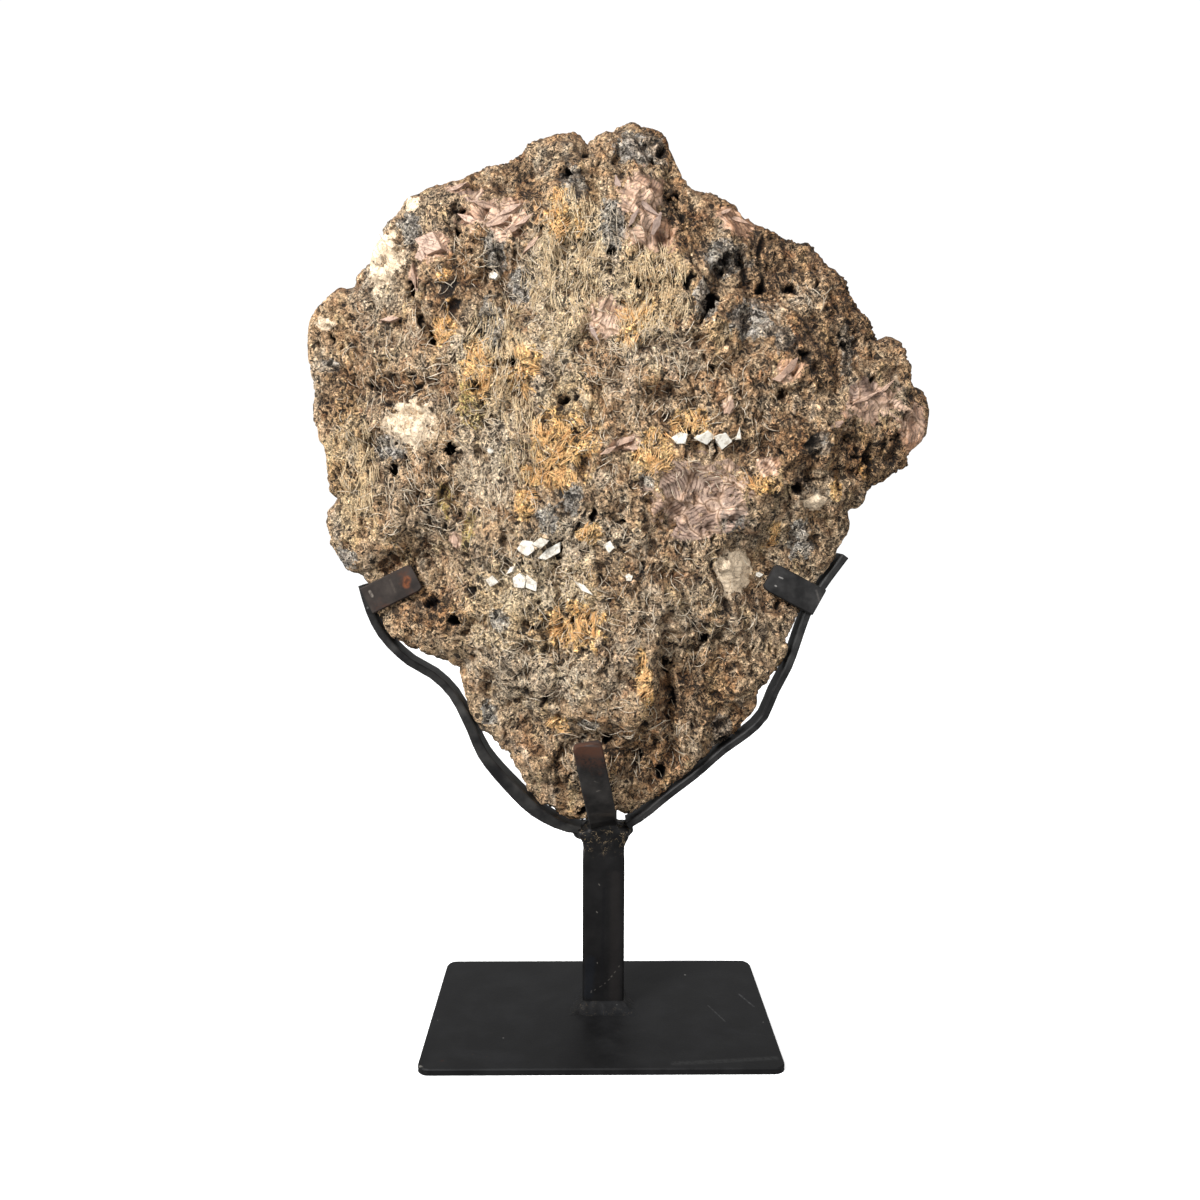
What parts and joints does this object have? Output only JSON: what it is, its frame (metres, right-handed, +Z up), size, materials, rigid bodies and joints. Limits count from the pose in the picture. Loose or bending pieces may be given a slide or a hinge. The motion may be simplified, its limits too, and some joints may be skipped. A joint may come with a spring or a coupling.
{
  "type": "polished agate on stand",
  "caption": "Agate slab with a rough pitted outer side and a flat polished back, held upright by claws in a welded black iron cradle on a rectangular base plate.",
  "frame": {"origin": "middle of the base plate's flat underside, on the surface that the stand rests on", "axes": "+Z up, +X to the right of a viewer who faces the rough side, +Y away from that viewer, towards the polished side"},
  "size_m": [0.2736, 0.1016, 0.3977],
  "materials": {
    "agate": "rough, pitted and matt brown-grey matrix with ochre, pink and white crystal patches; polished banded face behind",
    "blackened_iron": "satin black patina with faint rust and scuffs",
    "weld_bead": "lumpy blackened weld with brown flecks"
  },
  "bodies": {
    "root": {"stone": "agate", "base_plate": "blackened_iron", "post": "blackened_iron", "base_weld": "weld_bead", "head_weld": "weld_bead", "left_arm": "blackened_iron", "right_arm": "blackened_iron", "left_claw": "blackened_iron", "right_claw": "blackened_iron", "centre_claw": "blackened_iron", "left_rear_claw": "blackened_iron", "right_rear_claw": "blackened_iron", "centre_rear_claw": "blackened_iron"}
  },
  "joints": []
}
